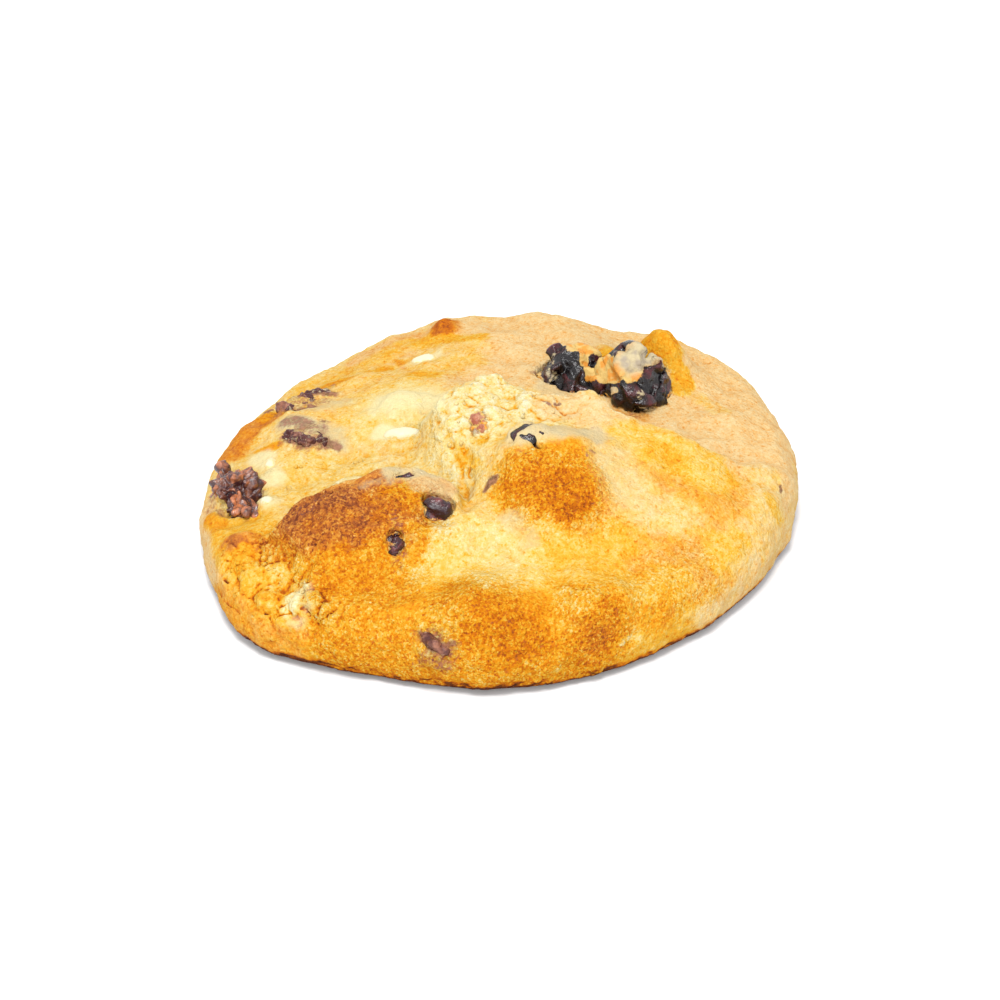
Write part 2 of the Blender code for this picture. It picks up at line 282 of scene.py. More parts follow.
def patched(place, patches, edge=0.35):
    """How much of each place these soft-edged patches cover."""
    cover = np.zeros(len(place))
    for patch in patches:
        away = away_from(place, set_down(patch.line)) / patch.width
        cover = np.maximum(cover, (1 - smooth((away - 1 + edge) / (2 * edge))) * patch.share)
    return cover


place = points(dough)
loose = wandering(place, 4.0, 1.2, 4)
crumbly = patched(loose, CRUMBLY)
sandy = patched(loose, SANDY)
calm = 1 - patched(loose, SMEARED)
lumps = clouds(place, 5.0, 8) * 0.16 + clouds(place, 2.3, 9) * 0.11 + clouds(place, 1.1, 10) * 0.08 * calm
torn = crumbs(place, 2.6, 11) * 0.4 + crumbs(place, 1.2, 12) * 0.16
grit = crumbs(place, 0.95, 13) * (0.05 + 0.1 * sandy) * calm
push(dough, (lumps + crumbly * torn + grit) * crust)

# Narrow slits, cracks and pits in the crust, each painted dark by its share: over the cranberries the dark
# is their skin showing through, in the cracks, holes and pits it is painted shade.
Slit = namedtuple("Slit", "dark width depth line")
SLITS = (
    # two over the cranberry in the middle mound
    Slit(1.0, 0.45, 1.0, ((0.9, -10.6), (1.4, -9.6), (2.5, -8.6), (3.9, -7.6), (5.2, -6.2), (6.2, -4.6))),
    Slit(1.0, 0.6, 1.1, ((3.0, -10.6), (3.9, -11.0), (4.7, -11.7))),
    # in the crest of the left mound
    Slit(0.9, 0.3, 0.8, ((-14.3, -16.2), (-13.1, -15.4), (-11.9, -14.8))),
    Slit(0.7, 0.3, 0.6, ((-22.2, -17.8), (-21.2, -17.3), (-20.4, -17.0))),
    Slit(0.6, 0.25, 0.4, ((-16.6, -16.4), (-15.3, -15.8))),
    # reddish slivers of skin on the ridge
    Slit(0.55, 0.3, 0.4, ((4.2, 1.8), (5.7, 0.9), (6.9, 0.3), (8.0, 0.2))),
    Slit(0.6, 0.24, 0.3, ((8.9, -4.4), (10.8, -5.0), (12.6, -5.8))),
    Slit(0.7, 0.24, 0.3, ((10.6, -7.0), (11.8, -7.2))),
    # a crack in the right edge, its dark painted shade
    Slit(0.45, 0.35, 0.5, ((37.1, -5.6), (38.0, -7.6), (38.3, -8.6))),
    # the crevice below the crown
    Slit(0.0, 0.6, 1.0, ((-5.6, -6.4), (-4.5, -9.0), (-4.4, -12.0), (-5.0, -15.2))),
    Slit(0.0, 0.5, 0.5, ((-4.0, -5.8), (-2.2, -6.4))),
    # a dip before the cranberry in the left mound
    Slit(0.0, 1.5, 1.1, ((-9.6, -21.6), (-7.4, -21.9))),
    # and before the one on the left edge
    Slit(0.0, 1.6, 0.9, ((-36.6, -13.2), (-33.0, -13.0))),
    # holes and cracks at the broken edge on the left, their dark painted shade
    Slit(0.8, 0.45, 0.9, ((-24.2, -25.6), (-23.8, -26.6))),
    Slit(0.45, 0.3, 0.8, ((-27.0, -26.0), (-25.2, -28.2), (-24.8, -30.4))),
    Slit(0.9, 0.55, 1.0, ((-26.9, -33.6), (-26.2, -33.9))),
    Slit(0.8, 0.5, 0.9, ((-30.2, -31.8), (-29.0, -32.5))),
    Slit(0.7, 0.4, 0.8, ((-36.4, -24.4), (-35.2, -25.6))),
    Slit(0.6, 0.28, 0.8, ((-37.0, -23.6, 4.6), (-35.6, -27.0, 4.8), (-34.0, -29.4, 5.0))),
    Slit(0.6, 0.28, 0.7, ((-30.0, -31.6), (-28.9, -34.0, 5.0))),
    Slit(0.3, 0.35, 0.5, ((-36.2, -19.3), (-34.4, -21.6))),
    # beside the half-buried cranberries behind the left edge
    Slit(0.8, 0.35, 0.5, ((-30.1, 5.1), (-28.9, 3.4), (-27.7, 2.0), (-26.6, 1.5))),
    Slit(0.8, 0.35, 0.5, ((-32.4, 15.4), (-30.5, 13.0), (-28.7, 11.4), (-27.4, 12.2))),
    # short cracks in the right slope and the front edge, their dark painted shade
    Slit(0.3, 0.2, 0.3, ((26.4, -25.5), (28.7, -24.6))),
    Slit(0.6, 0.22, 0.4, ((6.0, -39.8, 5.6), (7.4, -39.4, 6.0))),
    Slit(0.7, 0.25, 0.4, ((-6.9, -38.9, 9.4), (-6.1, -38.5, 9.6))),
)
# Small pits, each painted dark: painted shade in them.
PITS = (
    (-23.9, -27.2), (-13.8, -20.0), (-14.3, 22.6), (-10.9, 6.4), (-31.0, 2.6), (-33.4, 4.4), (24.8, 6.3),
    (21.3, -10.2), (18.0, -16.5), (21.6, -27.5), (-1.4, 20.5), (-1.4, 33.0), (-3.0, -9.6), (-3.4, -12.6),
)
pits = tuple(Slit(0.7, 0.35, 0.4, (pit,)) for pit in PITS)
place = points(dough)
loose = wandering(place, 1.2, 0.22, 15)
slit = np.zeros(len(place))
for one in SLITS + pits:
    near = np.exp(-((away_from(loose, set_down(one.line)) / one.width) ** 2))
    place[:, 2] -= near * one.depth * crust
    slit = np.maximum(slit, near * one.dark)
place[:, 2] = np.maximum(place[:, 2], 0.0)

# The lowest millimetre of the edge curls in over the table. Where the edge faces down it is painted dark:
# partly the browned underside, partly a painted contact shadow against the table.
CURL = 0.018  # of the way to the middle
SINGED_AND_SHADED_UP_TO = 2.0
place[:, :2] *= 1 - smooth(1.0 - place[:, 2])[:, None] * CURL
move_points(dough, place)
facing = points(dough, "normal")[:, 2]
turned_under = smooth((-0.15 - facing) / 0.35) * smooth((facing + 1) / 0.08)
singed_and_contact_shade = turned_under * (1 - smooth(place[:, 2] - SINGED_AND_SHADED_UP_TO))
slit = np.maximum(slit, singed_and_contact_shade * 0.7)


def stand_out(made, iterations):
    """How far each vertex stands out of the surface round it, below 0 in a crevice."""
    flattened = bpy.data.objects.new("flattened", made.data.copy())
    bpy.context.scene.collection.objects.link(flattened)
    shape(flattened, "SMOOTH", factor=0.5, iterations=iterations)
    rise = np.einsum("ij,ij->i", points(made) - points(flattened), points(made, "normal"))
    bpy.data.objects.remove(flattened)
    return rise


# How far the crust stands out, for painting it paler on what stands out and deeper yellow in its crevices:
# painted light and shade.
relief = stand_out(dough, 12)

# How far the dough browned, stroke over stroke: the level runs from 0 for pale crumb to 1 for
# dark crust, and a rosy crust is duller than a golden one.
Stroke = namedtuple("Stroke", "level rosy width line")
BROWNING = (
    # the far side, beige, with a golden edge
    Stroke(0.32, 1.1, 12.0, ((-6.0, 26.0), (10.0, 26.0), (24.0, 10.0), (34.0, 4.0))),
    Stroke(0.33, 1.1, 5.0, ((4.0, 36.0), (18.0, 31.0), (30.0, 22.0), (38.0, 8.0), (40.0, -4.0))),
    Stroke(0.36, 0.4, 7.0, ((-24.0, 12.0), (-16.0, 18.0), (-8.0, 24.0))),
    Stroke(0.42, 0.3, 3.0, ((-32.0, 15.0), (-26.0, 22.5), (-18.0, 28.5), (-10.0, 32.5))),
    Stroke(0.42, 0.8, 1.6, ((-22.0, 28.5), (-14.0, 33.5), (-8.0, 35.5))),
    Stroke(0.6, 0.1, 1.4, ((-24.5, 19.8), (-22.0, 20.5))),
    Stroke(0.52, 0.1, 1.2, ((-19.0, 23.4), (-17.0, 24.0))),
    Stroke(0.58, 0.3, 0.8, ((-15.0, 26.0), (-14.3, 22.8))),
    Stroke(0.5, 0.1, 1.6, ((-12.5, 17.5), (-10.0, 18.5))),
    Stroke(0.48, 0.1, 1.9, ((-11.0, 30.0), (-7.5, 30.0), (-4.5, 28.0))),
    Stroke(0.36, 0.5, 2.2, ((30.0, 11.0), (27.5, 13.0))),
    Stroke(0.52, 0.7, 1.2, ((19.0, 7.4), (16.5, 8.2))),
    # the pale middle, from the glow of the chocolate to the crown and the valley
    Stroke(0.27, 0.15, 7.0, ((-15.0, 10.0), (-14.0, 3.0))),
    Stroke(0.3, 0.4, 4.0, ((-18.0, -1.0), (-10.0, -1.5))),
    Stroke(0.25, 0.3, 4.0, ((-20.0, -6.0), (-9.0, -7.0))),
    Stroke(0.17, 0.3, 7.0, ((-4.0, -2.0), (0.0, 3.0), (4.0, 1.0))),
    Stroke(0.2, 0.3, 4.0, ((-7.0, -6.0), (-7.0, -14.0))),
    Stroke(0.28, 0.75, 4.0, ((8.0, 1.0), (15.0, -2.5))),
    # deeper yellow along the crevice below the crown and its branch: painted shade
    Stroke(0.43, 0.0, 1.0, ((-5.4, -6.6), (-4.6, -9.0), (-4.4, -12.0), (-4.9, -17.0))),
    Stroke(0.48, 0.0, 0.9, ((-4.2, -5.6), (-2.2, -6.4))),
    Stroke(0.42, 0.0, 0.7, ((-1.4, 2.6), (-0.6, 2.0))),
    Stroke(0.55, 0.0, 0.8, ((2.4, -4.2), (3.8, -3.8))),
    # the right slope, yellow below the ridge and mottled further down
    Stroke(0.5, 0.45, 11.0, ((20.0, -14.0), (28.0, -16.0), (20.0, -24.0))),
    Stroke(0.31, 0.5, 4.0, ((36.0, -6.0), (36.0, -14.0), (32.0, -20.0))),
    Stroke(0.36, 0.0, 3.6, ((17.0, -6.5), (22.0, -8.0), (28.0, -9.0))),
    Stroke(0.46, 0.0, 2.2, ((20.0, -8.0), (22.5, -9.5))),
    Stroke(0.5, 0.1, 0.8, ((30.0, -7.4), (31.0, -9.2))),
    Stroke(0.31, 0.45, 3.4, ((14.5, -12.0), (18.0, -18.0), (23.0, -19.0))),
    Stroke(0.39, 0.1, 2.6, ((28.0, -22.0), (31.0, -20.0))),
    Stroke(0.42, 0.1, 1.2, ((35.5, -10.5), (37.0, -12.0))),
    Stroke(0.42, 0.05, 3.4, ((4.0, -25.5), (9.0, -26.0), (14.0, -24.0))),
    Stroke(0.42, 0.0, 2.6, ((7.0, -33.0), (9.0, -30.0), (15.0, -29.5))),
    Stroke(0.41, 0.0, 2.6, ((18.0, -31.0), (22.5, -28.5))),
    Stroke(0.46, 0.1, 3.4, ((16.0, -37.0, 4.0), (24.0, -32.0, 4.0))),
    Stroke(0.31, 0.6, 3.4, ((27.0, -30.0, 3.0), (34.0, -22.0, 3.0), (39.5, -10.0, 3.0), (41.0, 2.0, 4.0))),
    # the pale valley before the left mound, and its yellow foot
    Stroke(0.31, 0.05, 4.2, ((-11.0, -30.4), (-6.0, -28.0), (2.0, -29.0))),
    Stroke(0.26, 0.3, 3.0, ((-7.0, -23.0), (0.0, -25.5))),
    Stroke(0.4, 0.0, 2.0, ((7.0, -30.5), (13.0, -31.5))),
    Stroke(0.5, -0.2, 5.0, ((-22.0, -34.0), (-16.0, -33.5), (-11.0, -34.5))),
    Stroke(0.57, -0.3, 4.2, ((-16.0, -36.5), (-10.0, -36.0), (-6.5, -35.0))),
    # the left side
    Stroke(0.31, 0.25, 7.0, ((-32.0, -8.0), (-24.0, -5.0))),
    Stroke(0.16, 0.1, 1.6, ((-21.0, -8.0), (-17.0, -9.0))),
    Stroke(0.45, 0.1, 6.0, ((-36.0, -15.0), (-34.0, -25.0), (-28.0, -30.0))),
    Stroke(0.32, 0.9, 3.4, ((-40.5, -8.0, 4.0), (-40.0, -16.0, 4.0), (-37.0, -24.0, 4.0))),
    Stroke(0.6, 0.2, 1.8, ((-39.0, -10.5, 7.0), (-37.8, -12.8))),
    Stroke(0.68, 0.5, 2.6, ((-38.0, 4.5), (-36.0, 8.5), (-32.5, 13.0))),
    Stroke(0.62, 0.1, 1.5, ((-31.0, 15.4), (-33.0, 13.6))),
    Stroke(0.6, 0.0, 0.9, ((-33.6, 4.2), (-30.8, 2.6))),
    Stroke(0.62, 0.4, 2.2, ((-35.5, -20.5), (-32.0, -20.8))),
    Stroke(0.78, 0.8, 1.2, ((-35.8, -19.6), (-34.2, -22.2))),
    Stroke(0.2, 0.0, 1.3, ((-27.0, -32.3), (-25.5, -31.0))),
    Stroke(0.32, 0.0, 1.2, ((-29.0, -28.0), (-29.5, -26.5))),
    Stroke(0.55, 0.0, 1.0, ((-31.5, -29.0), (-29.5, -30.5))),
    Stroke(0.55, 0.0, 1.0, ((-33.5, -22.5), (-34.0, -25.0))),
    # the front edge
    Stroke(0.55, 0.4, 4.0, ((-37.0, -25.0, 2.5), (-30.0, -33.0, 3.0), (-22.0, -37.5, 3.0))),
    Stroke(0.48, 0.0, 2.6, ((6.6, -38.5, 7.5), (7.2, -36.1, 10.1), (8.6, -33.4, 11.2),
                            (13.0, -32.4, 11.2))),
    Stroke(0.58, -0.4, 5.4, ((-20.0, -39.0, 3.0), (-8.0, -41.5, 3.0), (2.0, -41.0, 3.0),
                             (11.0, -40.0, 3.0))),
    Stroke(0.69, -0.2, 4.8, ((-1.4, -37.4, 9.5), (2.6, -37.6, 8.5))),
    Stroke(0.72, 0.05, 2.8, ((-1.2, -37.6, 9.4), (0.6, -39.4, 7.0))),
    Stroke(0.66, 0.05, 3.8, ((13.6, -35.8, 9.6), (12.0, -38.2, 6.5))),
    Stroke(0.7, 0.3, 2.6, ((13.2, -37.6, 7.6), (11.5, -38.2, 7.0))),
    Stroke(0.52, 0.0, 2.2, ((18.5, -33.8), (20.6, -31.6))),
    Stroke(0.62, 0.3, 1.0, ((21.2, -33.2, 6.5), (21.8, -32.4, 6.5))),
    Stroke(0.24, 0.3, 0.9, ((15.8, -36.6, 5.6), (16.6, -36.0, 5.6))),
    # the left mound, orange at its foot and darkest on its face
    Stroke(0.62, -0.2, 5.0, ((-21.0, -29.0), (-17.0, -28.5))),
    Stroke(0.72, 0.45, 5.0, ((-26.5, -22.0), (-20.0, -22.5), (-14.0, -21.0))),
    Stroke(0.66, 0.1, 2.4, ((-14.0, -18.0), (-11.5, -19.0))),
    Stroke(0.72, 0.8, 2.4, ((-24.0, -18.4), (-17.0, -16.6))),
    Stroke(0.84, 1.0, 2.6, ((-27.4, -20.8), (-21.5, -19.8))),
    Stroke(0.8, 0.6, 2.8, ((-25.0, -23.6), (-18.5, -22.6))),
    Stroke(0.8, 0.4, 2.0, ((-15.5, -22.0), (-13.5, -21.0))),
    Stroke(0.78, 0.6, 1.3, ((-19.5, -27.0), (-18.5, -26.4))),
    Stroke(0.55, 0.1, 1.4, ((-11.0, -24.0), (-12.0, -27.0))),
    Stroke(0.46, 1.0, 2.2, ((-10.0, -16.0), (-7.8, -16.4))),
    # the cap of the middle mound
    Stroke(0.66, 0.05, 5.4, ((4.2, -17.5), (8.2, -18.0))),
    Stroke(0.6, 0.1, 2.4, ((8.4, -12.8), (6.0, -14.2), (1.8, -14.6))),
    Stroke(0.73, 0.1, 3.4, ((5.0, -18.0), (9.0, -18.6))),
    Stroke(0.84, 0.1, 1.5, ((8.4, -21.0), (10.6, -20.0))),
    # knobs on the back edge
    Stroke(0.84, 0.4, 2.4, ((-9.0, 34.2), (-8.7, 33.0))),
    Stroke(0.56, -0.8, 3.0, ((15.6, 23.4), (18.4, 22.6), (22.8, 20.5, 15.5), (23.4, 22.6, 14.0))),
    Stroke(0.5, -0.6, 1.9, ((24.8, 18.0), (25.2, 14.8))),
)
place = points(dough)
loose = wandering(wandering(place, 5.0, 0.9, 20), 1.5, 0.4, 23)
browning = np.full(len(place), 0.33)  # of the plain crust, before any stroke
rosy = np.full(len(place), 0.4)
for stroke in BROWNING:
    away = away_from(loose, set_down(stroke.line)) / stroke.width
    share = 1 - smooth((away - 0.5) / 0.85)
    browning += (stroke.level - browning) * share
    rosy += (stroke.rosy - rosy) * share
UNDERSIDE_BROWNING, UNDERSIDE_ROSY = 0.92, 0.6
underside = 1 - smooth((place[:, 2] - 0.1) / 0.6)
# the singed foot, with its painted contact shadow, is browned as dark as the underside
browning += np.maximum(underside, singed_and_contact_shade) * (UNDERSIDE_BROWNING - browning)
rosy += underside * (UNDERSIDE_ROSY - rosy)

# A greyish film of dough over buried cranberries, with one patch of painted shade under the cap of the
# middle mound, and the purple that the cranberries bled into the dough.
FILM_AND_SHADE = (
    Patch(1.0, 2.4, ((2.0, -10.0), (4.4, -8.4), (8.0, -7.4))),
    Patch(1.0, 1.9, ((8.0, -7.4), (12.0, -7.0))),
    Patch(0.35, 4.0, ((14.0, -10.0), (16.0, -16.0))),
    # painted shade under the lower left edge of the cap
    Patch(0.45, 1.5, ((0.4, -21.2), (3.6, -24.4))),
    Patch(0.45, 2.2, ((-10.0, -15.8), (-7.4, -16.2))),
    Patch(0.9, 1.3, ((-14.6, -15.6), (-11.6, -14.4), (-9.0, -14.4))),
    Patch(0.45, 0.9, ((-17.5, -16.8), (-15.6, -16.4))),
    Patch(0.55, 2.4, ((-25.6, 11.0), (-22.5, 12.6))),
    Patch(0.9, 2.0, ((-30.0, 8.2), (-27.4, 6.4))),
    Patch(0.7, 2.2, ((-25.0, 4.6), (-22.6, 2.6))),
    Patch(0.4, 2.2, ((8.5, 22.5), (12.0, 26.0), (18.0, 28.0))),
    Patch(0.6, 1.4, ((5.6, 14.0), (8.0, 12.0))),
)
STAIN = (
    Patch(0.9, 0.8, ((-33.4, 16.4), (-32.0, 14.6), (-30.0, 12.4), (-28.6, 11.2), (-27.0, 12.2))),
    Patch(0.85, 1.1, ((-28.4, 15.6), (-26.5, 17.2), (-23.6, 16.0))),
    Patch(0.7, 1.6, ((-30.2, 8.4), (-28.2, 7.0), (-27.0, 5.0))),
    Patch(0.85, 1.2, ((-29.8, 4.4), (-28.4, 2.6), (-26.6, 1.4), (-23.4, 1.6))),
    Patch(0.5, 1.5, ((-28.0, 13.4), (-25.4, 13.6))),
    Patch(0.8, 0.8, ((-24.5, 6.4),)),
    Patch(0.9, 0.7, ((-10.2, -38.4, 8.6), (-9.2, -39.6, 7.8), (-8.6, -40.4, 7.0))),
    Patch(0.8, 0.9, ((-8.8, -39.2, 8.0), (-7.2, -40.4, 7.0), (-6.2, -39.8, 7.2))),
    Patch(0.6, 2.2, ((-8.4, -39.8, 7.4), (-7.8, -40.6, 6.2))),
    Patch(0.4, 1.0, ((-13.6, -23.0), (-13.2, -28.0))),
    Patch(1.0, 0.8, ((-2.5, -16.2), (-1.9, -15.4))),
    Patch(1.0, 0.35, ((4.2, 1.8), (5.7, 0.9), (8.0, 0.2))),
    Patch(0.3, 0.5, ((8.9, -4.2), (12.6, -5.8))),
    Patch(0.7, 0.6, ((11.2, -12.4), (11.6, -11.4))),
    Patch(0.8, 0.45, ((37.1, -5.6), (38.0, -7.4))),
    Patch(0.3, 1.2, ((-26.0, -20.6), (-23.0, -19.0))),
    Patch(0.4, 0.8, ((17.0, 8.0), (19.5, 7.6))),
)
# Pale melted chocolate shows through near the chunks.
MELTED = (
    Patch(0.8, 3.6, ((-15.6, 9.6), (-10.6, 9.6))),
    Patch(1.1, 1.4, ((-16.6, 3.2), (-8.8, 2.5))),
    Patch(0.8, 1.6, ((-33.2, 1.6), (-31.6, -2.6), (-31.0, -5.0))),
    Patch(0.7, 1.5, ((-32.6, -8.6), (-31.2, -11.4))),
    Patch(0.8, 1.2, ((-12.6, 24.0), (-9.8, 24.8))),
    Patch(0.6, 1.1, ((-27.4, -32.2), (-25.4, -30.8))),
    Patch(0.6, 1.0, ((-24.8, -33.6), (-26.4, -34.6))),
)
loose = wandering(wandering(place, 2.2, 0.7, 27), 0.9, 0.3, 30)
film = patched(loose, FILM_AND_SHADE, 0.7)
stain = patched(loose, STAIN, 0.6)
melted = patched(loose, MELTED, 0.7)


def near_to(place, skin, reach):
    """1 against these points of a skin, and less and less up to a reach in millimetres from them."""
    tree = kdtree.KDTree(len(skin))
    for index, p in enumerate(skin):
        tree.insert(p, index)
    tree.balance()
    low, high = skin.min(axis=0) - reach - 2, skin.max(axis=0) + reach + 2
    closeness = np.zeros(len(place))
    for index in np.flatnonzero(((place > low) & (place < high)).all(axis=1)):
        closeness[index] = max(0.0, 1 - tree.find(place[index])[2] / reach)
    return closeness


def paint(made, **layers):
    """Keeps a value for each vertex, for a material to read."""
    for name, values in layers.items():
        made.data.attributes.new(name, "FLOAT", "POINT").data.foreach_set("value", values)


# Each berry that shows stained the rim of its pocket.
for node, pocket in POCKETS.items():
    if node.startswith("cranberry") and pocket.drop:
        stain = np.maximum(stain, near_to(loose, points(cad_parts[node]), 1.5) * 0.7)
paint(dough, browning=browning, rosy=rosy, relief=relief, film=film, stain=stain, melted=melted,
      slit=slit, sandy=sandy, crumbly=crumbly)

# The flat underside needs few faces.
UNDERSIDE_FACES = 0.06  # the share of them that is kept
only(dough)
dough.data.vertices.foreach_set("select", points(dough)[:, 2] < 0.02)
bpy.ops.object.mode_set(mode="EDIT")
bpy.context.tool_settings.mesh_select_mode = (True, False, False)
bpy.ops.mesh.decimate(ratio=UNDERSIDE_FACES)
bpy.ops.object.mode_set(mode="OBJECT")


class Value:
    """A socket of a material, on which sums add their Math nodes."""

    def __init__(self, finish, output):
        self.finish, self.output = finish, output

    def sum(self, operation, *terms):
        return self.finish.node("ShaderNodeMath", {"operation": operation}, dict(enumerate(terms)))

    def __add__(self, other):
        return self.sum("ADD", self, other)

    def __sub__(self, other):
        return self.sum("SUBTRACT", self, other)

    def __rsub__(self, other):
        return self.sum("SUBTRACT", other, self)

    def __mul__(self, other):
        return self.sum("MULTIPLY", self, other)

    def above(self, low, high):
        """0 up to low, 1 from high on, and smooth between them."""
        sockets = {"Value": self, "From Min": low, "From Max": high}
        return self.finish.node("ShaderNodeMapRange", {"interpolation_type": "SMOOTHSTEP"}, sockets)

    __radd__ = __add__
    __rmul__ = __mul__


class Finish:
    """A material, made node by node."""

    def __init__(self, name, **constants):
        self.material = bpy.data.materials.new(name)
        self.material.use_nodes = True
        self.shader = self.material.node_tree.nodes["Principled BSDF"]
        for socket, value in constants.items():
            self.shader.inputs[socket.replace("_", " ")].default_value = value
        self.place = self.node("ShaderNodeTexCoord", {}, {}, "Object")

    def node(self, kind, settings, sockets, output=0):
        """Adds a node: its settings, a ramp's stops among them, and its sockets' values or links."""
        made = self.material.node_tree.nodes.new(kind)
        for setting, value in settings.items():
            if setting == "stops":
                ramp = made.color_ramp
                for share, _ in value[1:-1]:
                    ramp.elements.new(share)
                for stop, (share, colour) in zip(ramp.elements, value):
                    stop.position, stop.color = share, (*colour, 1)
            else:
                setattr(made, setting, value)
        for socket, value in sockets.items():
            self.feed(made.inputs[socket], value)
        return Value(self, made.outputs[output])

    def feed(self, socket, value):
        if isinstance(value, Value):
            self.material.node_tree.links.new(value.output, socket)
        elif isinstance(value, tuple) and len(value) == 3 and socket.type == "RGBA":
            socket.default_value = (*value, 1)
        else:
            socket.default_value = value

    def painted(self, name):
        """A value that was painted on the piece."""
        return self.node("ShaderNodeAttribute", {"attribute_name": name}, {}, "Fac")

    def cloud(self, size, detail=2.0, roughness=0.5):
        """Noise from 0 to 1, in lumps of a size in millimetres."""
        sockets = {"Vector": self.place, "Scale": 1 / (size * MM), "Detail": detail, "Roughness": roughness}
        return self.node("ShaderNodeTexNoise", {}, sockets)

    def cells(self, size, output="Distance"):
        """Distance from the middles of cells of a size in millimetres, or another output."""
        sockets = {"Vector": self.place, "Scale": 1 / (size * MM)}
        return self.node("ShaderNodeTexVoronoi", {}, sockets, output)

    def mix(self, share, first, second):
        sockets = {0: share, 6: first, 7: second}
        return self.node("ShaderNodeMix", {"data_type": "RGBA"}, sockets, 2)

    def ramp(self, share, *stops):
        return self.node("ShaderNodeValToRGB", {"stops": stops}, {"Fac": share})

    def bump(self, height, distance):
        """Raises the finish by a height from 0 to 1, times a distance in millimetres."""
        sockets = {"Height": height, "Distance": distance * MM, "Strength": 1.0}
        self.feed(self.shader.inputs["Normal"], self.node("ShaderNodeBump", {}, sockets))


LIGHT = 1.96  # how much brighter than the colour itself the table light shows it


def seen(red, green, blue):
    """A colour as it looks on the table, from 0 to 255, as the share of light that it throws back."""
    return tuple(((v / 255 + 0.055) / 1.055) ** 2.4 / LIGHT for v in (red, green, blue))


crust_finish = Finish("baked_dough", Roughness=0.75, Specular_IOR_Level=0.03)
browned = crust_finish.painted("browning")
sand = crust_finish.painted("sandy")
torn_open = crust_finish.painted("crumbly")
hills = crust_finish.painted("relief")
blotches = crust_finish.cloud(2.0, 4.0, 0.65)
mottle = crust_finish.cloud(0.7, 3.0, 0.65)
grains = crust_finish.cells(0.45, "Color")
fine = crust_finish.cells(0.25, "Color")
pores = 1 - crust_finish.cells(1.3).above(0.05, 0.13)
uneven = (blotches - 0.5) * 0.36 + (mottle - 0.5) * 0.36
gritty = ((grains - 0.5) * 0.35 + (fine - 0.5) * 0.7) * (sand * 0.44 + 0.24)
flecks = crust_finish.cloud(0.6, 2.0, 0.5).above(0.58, 0.7) * 0.16
# What stands out is painted paler and the crevices deeper yellow and orange: painted light and shade.
crevice_shade = (0 - hills).above(0.0, 0.25)
level = (browned + uneven + gritty + flecks + pores * 0.18 - hills * 0.6
         + crevice_shade * (torn_open * 0.26 + 0.08))
golden = crust_finish.ramp(
    level,
    (0.0, seen(255, 248, 214)),
    (0.15, seen(254, 236, 170)),
    (0.3, seen(252, 214, 120)),
    (0.45, seen(250, 190, 60)),
    (0.6, seen(246, 162, 28)),
    (0.75, seen(230, 130, 18)),
    (0.88, seen(208, 108, 22)),
    (1.0, seen(172, 84, 24)),
)
dull = crust_finish.ramp(
    level,
    (0.0, seen(254, 242, 208)),
    (0.15, seen(253, 228, 174)),
    (0.3, seen(251, 213, 150)),
    (0.45, seen(246, 190, 114)),
    (0.6, seen(234, 158, 72)),
    (0.75, seen(208, 124, 56)),
    (0.88, seen(176, 98, 54)),
    (1.0, seen(138, 72, 46)),
)
rosiness = (crust_finish.painted("rosy") + (crust_finish.cloud(1.7, 3.0, 0.6) - 0.5) * 0.9).above(0.1, 0.9)
colour = crust_finish.mix(rosiness, golden, dull)
# Over the crust come the melted chocolate, the film with its patch of painted shade, the juice, and the
# dark of the slits, which is painted shade in cracks and pits and a painted contact shadow at the foot,
# each with a broken edge.
patchy = (mottle - 0.5) * 0.9 + (fine - 0.5) * 0.25
melted_through = (crust_finish.painted("melted") + patchy * 0.5).above(0.0, 1.0) * 0.8
colour = crust_finish.mix(melted_through, colour, seen(255, 244, 192))
greyish = crust_finish.mix(blotches.above(0.35, 0.65), seen(224, 207, 164), seen(238, 212, 158))
film_and_shade_share = (crust_finish.painted("film") + patchy * 0.5).above(0.05, 0.9) * 0.88
colour = crust_finish.mix(film_and_shade_share, colour, greyish)
clotted = crust_finish.cloud(0.7, 3.0, 0.6).above(0.35, 0.65)
juice = crust_finish.mix(clotted, seen(104, 54, 56), seen(178, 122, 104))
stained = (crust_finish.painted("stain") + patchy).above(0.2, 0.85) * 0.85
colour = crust_finish.mix(stained, colour, juice)
slit_and_shade_share = (crust_finish.painted("slit") + patchy * 0.2).above(0.4, 0.8) * 0.92
colour = crust_finish.mix(slit_and_shade_share, colour, seen(52, 26, 28))
crust_finish.feed(crust_finish.shader.inputs["Base Color"], colour)
roughness = (crust_finish.cloud(0.5, 4.0, 0.65) - 0.5) * 0.8 - crust_finish.cells(0.42) * 0.4
crust_finish.bump(roughness * (sand * 0.7 + 0.7), 0.42)


def coat(made, material):
    """Covers a piece with a material and shades it smooth."""
    made.data.materials.append(material)
    only(made)
    bpy.ops.object.shade_smooth()


coat(dough, crust_finish.material)
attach(dough, "root")
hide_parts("dough")

